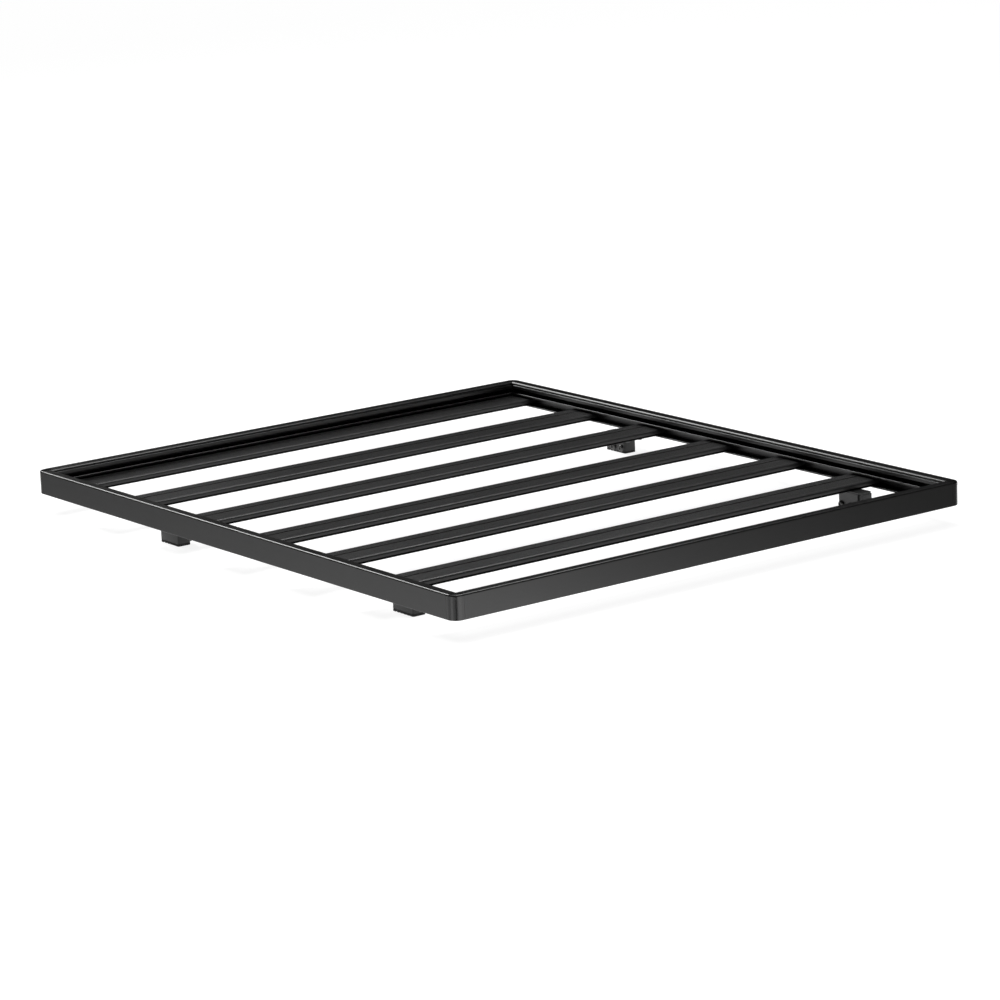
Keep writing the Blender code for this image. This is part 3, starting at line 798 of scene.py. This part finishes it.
@dataclass
class Slats:
    """Seven ribbed slats with an off-centre groove, side grooves and two underside channels."""

    rack: Rack
    width_mm: float = 73.0
    height_mm: float = 12.4
    rib_mm: float = 1.6
    rib_depth_mm: tuple[float, float] = (0.16, 0.12)
    edge_mm: float = 4.5
    edge_flat_mm: float = 6.4
    side_slot_mm: tuple[float, float, float] = (6.0, 0.6, 3.8)
    groove_mm: float = 8.0
    groove_half_mm: tuple[float, float] = (2.1, 1.6)
    groove_deep_mm: float = 2.2
    mouth_half_mm: float = 3.3
    channel_half_mm: float = 5.5
    channel_z_mm: tuple[float, float] = (2.0, 8.5)
    middle_mm: tuple[float, float] = (4.5, 2.4)
    side_chamber_mm: tuple[float, float, float] = (19.7, 2.6, 5.4)
    roof_mm: float = 9.6
    end_mm: float = 4.0
    notch_mm: float = 22.6

    def ribs(self, start: float, stop: float, depth: float) -> list[tuple[float, float, float]]:
        """Top line between two positions: height falls by depth (1 - cos(2 pi s / pitch)) / 2."""
        count = max(int(round(abs(stop - start) / self.rib_mm)), 1)
        s = np.linspace(0, count, count * 6 + 1)
        x = start + (stop - start) * s / count
        y = self.height_mm - depth * (0.5 - 0.5 * np.cos(2 * np.pi * s))
        return [(float(a), float(b), 0.0) for a, b in zip(x, y)]

    def section(self) -> list[Array]:
        """Outline and chambers: first axis towards the rear, second up from the underside."""
        half, top = self.width_mm / 2, self.height_mm
        mouth, wide = self.mouth_half_mm, self.channel_half_mm
        floor, roof = self.channel_z_mm
        under: list[tuple[float, float, float]] = []
        for c in (-self.rack.channel / MM, self.rack.channel / MM):
            under += [(c - mouth, 0, 0.3), (c - mouth, floor, 0.15), (c - wide, floor, 0.2),
                      (c - wide, roof, 0.6), (c + wide, roof, 0.6), (c + wide, floor, 0.2),
                      (c + mouth, floor, 0.15), (c + mouth, 0, 0.3)]
        deep, low, high = self.side_slot_mm
        right = [(half, 0, 0.2), (half, low, 0.2), (half - deep, low, 0.3),
                 (half - deep, high, 0.3), (half, high, 0.5), (half, top, self.edge_mm)]
        left = [(-x, y, r) for x, y, r in right[::-1]]
        near, far = self.rib_depth_mm
        g, (brim, bed), flat = self.groove_mm, self.groove_half_mm, half - self.edge_flat_mm
        dip = [(g + bed, top - self.groove_deep_mm, 0.3), (g - bed, top - self.groove_deep_mm, 0.3)]
        crest = self.ribs(flat, g + brim, far) + dip + self.ribs(g - brim, -flat, near)
        side, wall, shelf = self.side_chamber_mm
        inner, sill = self.middle_mm
        chambers = [self.chamber(-inner, inner, sill)]
        for s in (-1, 1):
            chambers.append(self.chamber(*sorted((s * side, s * (half - wall))), shelf))
        return [rounded(under + right + crest + left, 6, 0.05), *chambers]

    def chamber(self, left: float, right: float, floor: float) -> Array:
        """Outline of one rounded chamber under the slat's top wall."""
        roof = self.roof_mm
        return rounded([(left, floor, 0.8), (right, floor, 0.8),
                        (right, roof, 0.8), (left, roof, 0.8)], 3)

    def build(self, coats: Coats) -> None:
        """Builds the slats; the outer edge of each end slat stops short of the corner castings."""
        outlines = self.section()
        half = self.rack.width / 2 - self.end_mm * MM
        for number, y in enumerate(self.rack.slat_centres(), 1):
            path = Placement((0, float(y), self.rack.slat_z), (0, 1, 0), (0, 0, 1), (1, 0, 0))
            surface = Surface()
            surface.extrude(outlines, path, (-half, half))
            if number in (1, self.rack.slat_count):
                edge = self.rack.length / 2 - self.notch_mm * MM
                short = self.rack.width / 2 - self.notch_mm * MM
                for points in surface.points:
                    outer = np.abs(points[:, 1]) > edge
                    points[outer, 0] = np.clip(points[outer, 0], -short, short)
            coats.fit(surface, f"slat_{number}", "ribbed", Slot.SLAT, 40.0)


@dataclass
class SlatBolts:
    """Bolts up through the rail flange, each run into a square nut in a slat channel."""

    rack: Rack
    inset: float = 12.5 * MM
    head: tuple[float, float] = (5.2 * MM, 3.2 * MM)
    shank: float = 2.9 * MM
    nut: float = 4.9 * MM
    nut_high: float = 4.6 * MM
    nut_lift: float = 2.3 * MM
    tip_lift: float = 5.6 * MM

    def solid(self, seat: tuple[float, float, float], head: tuple[float, float]) -> Surface:
        """Head with a hex socket, shank and nut, standing on its seat.

        Args:
            seat: Point where the head meets the plate above it.
            head: Radius and height of the head.

        Returns:
            The closed surfaces.
        """
        r, h = head
        low = self.rack.slat_z + self.nut_lift
        tip = low + self.tip_lift - seat[2]
        key, floor, ease = 0.40 * r, 1.5 * MM - h, 0.5 * MM
        a = np.linspace(0.08, 1, 7) * np.pi / 2
        dome = np.stack([r * (0.62 + 0.38 * np.sin(a)), -h + h * 0.72 * (1 - np.cos(a))], 1)
        rows = [(0.0, floor), (key, floor), (key, -h + 0.15 * MM), (key * 1.14, -h), *dome.tolist(),
                (r, -0.25 * MM), (r - 0.2 * MM, 0.0), (self.shank, 0.0), (self.shank, tip - ease),
                (self.shank - ease, tip), (0.0, tip)]
        surface = Surface()
        surface.grid(turned(rows, hexed=(1, 2)) + np.array(seat), closed=True)
        levels = eased(self.nut_high, 0.4 * MM, self.nut * 0.98)
        block = round_box((2 * self.nut, 2 * self.nut), 0.6 * MM, levels, 3)
        surface.grid(block + np.array([seat[0], seat[1], low]), closed=True)
        return surface

    def build(self, coats: Coats) -> None:
        """Builds the bolt at each end of each slat."""
        for side, (number, y) in product(Side, enumerate(self.rack.bolt_rows(), 1)):
            x = side.value * (self.rack.width / 2 - self.inset)
            surface = self.solid((x, float(y), self.rack.base - self.rack.gap), self.head)
            coats.fit(surface, f"slat_bolt_{number}_{side.name.lower()}", "steel", Slot.BOLT)


@dataclass(frozen=True)
class FootPlace:
    """Where the two feet of one end stand."""

    inset: float
    face: float
    slat: int


@dataclass
class Feet:
    """Four block feet: cast block, rubber pad, bent bracket and its bolts."""

    rack: Rack
    bolts: SlatBolts
    length: float = 62 * MM
    width: float = 27 * MM
    top: float = 35.7 * MM
    pad: float = 4.0 * MM
    upright: float = 3.5 * MM
    places: dict[End, FootPlace] = field(default_factory=lambda: {
        End.REAR: FootPlace(35 * MM, 232 * MM, 4), End.FRONT: FootPlace(50 * MM, -428.5 * MM, 1)})
    pad_grooves: int = 5
    pad_groove_mm: tuple[float, float, float] = (1.5, 1.3, 1.2)
    plate: float = 3 * MM
    plate_wide_mm: float = 62.0
    plate_reach_mm: float = 38.6
    plate_margin_mm: float = 1.0
    plate_corner_mm: float = 4.0
    plate_step_mm: float = -2.0
    leg_start_mm: float = 2.0
    leg_short_mm: float = 8.0
    leg_corner_mm: float = 5.0
    leg_foot_mm: float = 4.8
    slot_in: tuple[float, float] = (15 * MM, 47 * MM)
    slot_away_mm: tuple[float, float] = (-34.6, -11.2)
    slot_half_mm: float = 3.3
    bolt_away: tuple[float, float] = (9 * MM, 34 * MM)
    bolt_height: float = 11 * MM
    bolt_stand: float = 3.6 * MM
    side_head: tuple[float, float] = (6.9 * MM, 4.2 * MM)
    side_shank: tuple[float, float] = (3.9 * MM, 18 * MM)
    side_socket: tuple[float, ...] = (2.9 * MM, 2.4 * MM, 2.2 * MM, 1.9 * MM)
    under_head: tuple[float, float] = (5.8 * MM, 3.6 * MM)

    def block(self) -> Array:
        """Cast block with rounded upright corners and eased rims, centred in plan."""
        low = self.pad + self.rack.gap
        levels = eased(self.top - low, 0.8 * MM, self.width / 2)
        return round_box((self.width, self.length), self.upright, levels) + np.array([0, 0, low])

    def pad_surface(self) -> Surface:
        """Rubber pad: a grooved outline carried across, drawn in at both ends.

        At distance d from an end face the outline's length shrinks by r - sqrt(r^2 - (r - d)^2),
        which rounds the pad's upright corners by r.
        """
        half, high, r = self.length / MM / 2, self.pad / MM, self.upright
        wide, bed, deep = self.pad_groove_mm
        lower: list[tuple[float, float, float]] = [(-half, 0, 0.5)]
        for k in range(self.pad_grooves):
            c = -half + 2 * half * (k + 1) / (self.pad_grooves + 1)
            lower += [(c + across, up, 0.3)
                      for across, up in ((-wide, 0), (-bed, deep), (bed, deep), (wide, 0))]
        outline = rounded(lower + [(half, 0, 0.5), (half, high, 0.5), (-half, high, 0.5)], 4, 0.05)
        inset = r * (1 - np.cos(np.linspace(0, np.pi / 2, 7)))
        stations = np.concatenate([-self.width / 2 + inset, (self.width / 2 - inset)[::-1]])
        draw = fall(np.concatenate([inset, inset[::-1]]), r)
        rings = Placement((0, 0, 0), (0, 1, 0), (0, 0, 1), (1, 0, 0)).lay(outline, stations)
        rings[..., 1] *= (1 - draw / (half * MM))[:, None]
        surface = Surface()
        surface.grid(rings, closed=True)
        for row in (0, -1):
            surface.close([rings[row]], [rings[row][:, 1:]])
        return surface

    def bracket(self) -> Surface:
        """Slotted plate under the slat and over the foot, with a bent leg down its inner face.

        Built for a corner at the origin: first axis inwards, second away from the slat.
        """
        surface = Surface()
        inner, long = self.width / MM + 0.3, self.length / MM
        wide, reach, step = self.plate_wide_mm, self.plate_reach_mm, self.plate_step_mm
        edge, r, bent = self.plate_margin_mm, self.plate_corner_mm, inner + self.plate / MM
        last = long - self.leg_short_mm
        plan = [(edge, -reach, r), (wide, -reach, r), (wide, step, r), (bent, step, 3),
                (bent, last, 0.3), (self.width / MM - r, long - edge, r), (edge, long - edge, r)]
        low, high = self.slot_away_mm
        slots = []
        for c in np.array(self.slot_in) / MM:
            a, b = c - self.slot_half_mm, c + self.slot_half_mm
            slots.append(rounded([(x, y, self.slot_half_mm - 0.05)
                                  for x, y in ((a, low), (b, low), (b, high), (a, high))], 8, 0.01))
        z0 = self.rack.base - 0.5 * MM
        flat = Placement((0, 0, z0), (1, 0, 0), (0, 1, 0), (0, 0, 1))
        surface.extrude([rounded(plan, 6, 0.1)] + slots, flat, (0.0, self.plate))
        first, foot, bend, r = self.leg_start_mm, self.leg_foot_mm, z0 / MM + 1, self.leg_corner_mm
        leg = [(first, foot, r), (last, foot, r), (last, bend, 0.5), (first, bend, 0.5)]
        upright = Placement((inner * MM, 0, 0), (0, 1, 0), (0, 0, 1), (1, 0, 0))
        surface.extrude([rounded(leg, 8, 0.1)], upright, (0.0, self.plate))
        return surface

    def side_bolt(self, seat: tuple[float, float, float],
                  axis: tuple[float, float, float]) -> Surface:
        """Button-head bolt with a hex socket.

        Args:
            seat: Point where the head meets the bracket's leg.
            axis: Direction from the head into the block.

        Returns:
            The closed surface.
        """
        (r, h), (shank, tip), ease = self.side_head, self.side_shank, 0.7 * MM
        key, middle, halfway, wall = self.side_socket
        a = np.linspace(0.05, 1, 8) * np.pi / 2
        dome = np.stack([r * (0.52 + 0.48 * np.sin(a)), -h + h * 0.9 * (1 - np.cos(a))], 1)
        rows = [(0.0, -h + middle), (key * 0.5, -h + halfway), (key, -h + wall),
                (key, -h + 0.2 * MM), (key * 1.12, -h), *dome.tolist(), (r, -0.2 * MM),
                (r - 0.15 * MM, 0.0), (shank, 0.0), (shank, tip - ease), (shank - ease, tip),
                (0.0, tip)]
        surface = Surface()
        surface.grid(point_at(turned(rows, hexed=(2, 3)), seat, axis), closed=True)
        return surface

    def build(self, coats: Coats) -> None:
        """Builds the four feet with their pads, brackets and bolts."""
        for end, side in product(End, Side):
            label = f"{end.name.lower()}_{side.name.lower()}"
            sx, sy, place = side.value, end.value, self.places[end]
            x, y = sx * (self.rack.width / 2 - place.inset), place.face
            middle = (x - sx * self.width / 2, y + sy * self.length / 2, 0.0)
            block = Surface()
            block.grid(self.block(), closed=True)
            block.move(middle)
            coats.fit(block, f"foot_block_{label}", "cast", Slot.FOOT)
            pad = self.pad_surface()
            pad.move(middle)
            coats.fit(pad, f"foot_pad_{label}", "moulded", Slot.PAD)
            bracket = self.bracket()
            bracket.move((x, y, 0.0), (-sx, sy, 1.0))
            plate = coats.fit(bracket, f"foot_bracket_{label}", "plate", Slot.BRACKET)
            bevel = plate.modifiers.new("broken_edges", "BEVEL")
            bevel.width, bevel.segments, bevel.angle_limit = 0.35 * MM, 2, math.radians(50)
            for number, away in enumerate(self.bolt_away, 1):
                seat = (x - sx * (self.width + self.bolt_stand), y + sy * away, self.bolt_height)
                bolt = self.side_bolt(seat, (sx, 0, 0))
                coats.fit(bolt, f"foot_side_bolt_{label}_{number}", "steel", Slot.BOLT)
            row = float(self.rack.slat_centres()[place.slat] - sy * self.rack.channel)
            for number, inward in enumerate(self.slot_in, 1):
                bolt = self.bolts.solid((x - sx * inward, row, self.rack.base - 0.8 * MM),
                                        self.under_head)
                coats.fit(bolt, f"foot_slat_bolt_{label}_{number}", "steel", Slot.BOLT)


# ------------------------- studio
@dataclass(frozen=True)
class Softbox:
    """Rectangular soft light that faces a point of the rack."""

    name: str
    place: tuple[float, float, float]
    target: tuple[float, float, float]
    size: tuple[float, float]
    power: float

    def build(self) -> None:
        """Adds the light."""
        data = bpy.data.lights.new(self.name, "AREA")
        data.shape = "RECTANGLE"
        data.size, data.size_y = self.size
        data.energy = self.power
        lamp = bpy.data.objects.new(self.name, data)
        lamp.visible_camera = False
        way = Vector(self.target) - Vector(self.place)
        turn = way.to_track_quat("-Z", "Y").to_matrix().to_4x4()
        lamp.matrix_world = Matrix.Translation(self.place) @ turn
        bpy.context.scene.collection.objects.link(lamp)


@dataclass(frozen=True)
class GlossCard:
    """Card just above the floor that shows only in gloss, to shape the reflections in the rims.

    Its brightness at place p along an axis is glow times rate to the power p, within limits.
    """

    name: str
    lift_mm: float
    plan: tuple[Array, Array]
    glow: float
    rate: float = 1.0
    axis: int = 0
    limits: tuple[float, float] = (0.0, 3.0)

    def build(self) -> None:
        """Adds the card."""
        x, y = self.plan
        surface = Surface()
        surface.grid(np.stack([x, y, np.full_like(x, self.lift_mm * MM)], -1))
        board = Board(self.name)
        bright = self.rate ** board.split(board.place)[self.axis] * self.glow
        bright = bright.math("MAXIMUM", self.limits[0]).math("MINIMUM", self.limits[1])
        card = surface.piece(self.name, board.close({"Emission Color": bright}, {
            "Base Color": shade(0.0), "Roughness": 1.0, "Specular IOR Level": 0.0,
            "Emission Strength": 1.0}))
        card.visible_camera = card.visible_diffuse = card.visible_shadow = False
        card.visible_transmission = False


def panel(across: tuple[float, float], along: tuple[float, float]) -> tuple[Array, Array]:
    """Plan of a rectangular card, as grids of its X and Y."""
    x, y = np.meshgrid(np.linspace(*across, 9), np.linspace(*along, 9))
    return x, y


def sector(arc: tuple[float, float], reach: tuple[float, float]) -> tuple[Array, Array]:
    """Plan of a ring sector round the near corner: x = cx + r cos a and y = cy + r sin a."""
    angle = np.radians(np.linspace(*arc, 13))[None, :]
    radius = np.linspace(*reach, 5)[:, None]
    return NEAR_CORNER[0] + radius * np.cos(angle), NEAR_CORNER[1] + radius * np.sin(angle)


@dataclass
class Studio:
    """Pale floor, soft light and the camera."""

    place: tuple[float, float, float] = (-4.368090, -5.904612, 1.773066)
    yaw: float = -0.639983581
    pitch: float = 0.232708051
    roll: float = -0.039056763
    lens: float = 143.6443
    floor_half: float = 40.0
    floor_glow: float = 0.88
    floor_grey: float = 0.28
    world_grey: float = 0.01
    sky: float = 1.2
    boxes: tuple[Softbox, ...] = (
        Softbox("rear_box", (-0.45, 4.2, 3.3), (0.0, 0.0, 0.1), (2.6, 2.0), 200.0),
        Softbox("upper_box", (0.5, -0.1, 1.9), (0.0, 0.0, 0.1), (1.0, 1.3), 26.0),
    )
    cards: tuple[GlossCard, ...] = (
        GlossCard("card_front", 0.5, panel((-0.62, 3.2), (-3.0, -0.69)), 1.05, 0.174, 0, (0.3, 2)),
        GlossCard("card_left", 0.5, panel((-3.0, -0.60), (-0.68, 3.4)), 0.85, 0.61, 1, (0.45, 1.3)),
        GlossCard("flag_corner", 1.0, sector((228.0, 240.0), (0.06, 1.2)), 0.0),
        GlossCard("card_corner_front", 1.0, sector((252.0, 292.0), (0.06, 0.9)), 2.6),
        GlossCard("card_corner_left", 1.0, sector((176.0, 200.0), (0.06, 0.9)), 2.2),
    )

    def floor(self) -> None:
        """Wide plain floor that glows a little, so that shadows on it stay faint."""
        surface = Surface()
        x, y = panel((-self.floor_half, self.floor_half), (-self.floor_half, self.floor_half))
        surface.grid(np.stack([x, y, np.full_like(x, -0.2 * MM)], -1))
        board = Board("studio_floor")
        colour = board.blend(board.noise(3.0, 2.0), shade(self.floor_grey),
                             shade(self.floor_grey * 1.03))
        coat = board.close({"Base Color": colour}, {
            "Roughness": 0.9, "Specular IOR Level": 0.1, "Emission Color": shade(1.0),
            "Emission Strength": self.floor_glow})
        surface.piece("studio_floor", coat)

    def air(self) -> None:
        """Dim even light from all round."""
        world = bpy.data.worlds.new("studio_air")
        world.use_nodes = True
        back = world.node_tree.nodes["Background"]
        back.inputs[0].default_value = shade(self.world_grey)
        back.inputs[1].default_value = 1.0
        bpy.context.scene.world = world

    def overhead(self) -> None:
        """Very wide soft light straight down, the same all over the floor."""
        data = bpy.data.lights.new("overhead_dome", "SUN")
        data.energy, data.angle = self.sky, math.radians(70)
        dome = bpy.data.objects.new("overhead_dome", data)
        bpy.context.scene.collection.objects.link(dome)

    def camera(self) -> None:
        """Long-lens view from the front left corner, a little above the deck."""
        c, s = math.cos(self.roll), math.sin(self.roll)
        back = Vector((math.sin(self.yaw) * math.cos(self.pitch),
                       -math.cos(self.yaw) * math.cos(self.pitch), math.sin(self.pitch)))
        right = Vector((math.cos(self.yaw), math.sin(self.yaw), 0.0))
        up = back.cross(right)
        columns = (c * right + s * up, -s * right + c * up, back)
        turn = Matrix(columns).transposed().to_4x4()
        data = bpy.data.cameras.new("studio_camera")
        data.sensor_width, data.lens = 36.0, self.lens
        data.clip_start, data.clip_end = 0.1, 200.0
        obj = bpy.data.objects.new("studio_camera", data)
        obj.matrix_world = Matrix.Translation(self.place) @ turn
        bpy.context.scene.collection.objects.link(obj)
        bpy.context.scene.camera = obj

    def build(self) -> None:
        """Sets up floor, light and camera."""
        bpy.context.scene.view_settings.view_transform = "Standard"
        self.floor()
        self.air()
        self.overhead()
        for item in (*self.boxes, *self.cards):
            item.build()
        self.camera()


def clear_startup(names: Iterable[str] = ("Cube", "Light", "Camera")) -> None:
    """Removes Blender's startup objects where they are present."""
    for name in names:
        old = bpy.data.objects.get(name)
        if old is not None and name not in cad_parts:
            bpy.data.objects.remove(old, do_unlink=True)


def main() -> None:
    """Builds the rack's sub-assemblies in order, then the studio."""
    logging.basicConfig(level=logging.INFO, format="%(name)s: %(message)s")
    clear_startup()
    rack = Rack()
    coats = Coats()
    bolts = SlatBolts(rack)
    for assembly in (PerimeterRails(rack), CornerCastings(rack), Slats(rack), bolts,
                     Feet(rack, bolts)):
        assembly.build(coats)
    Studio().build()


if __name__ == "__main__":
    main()
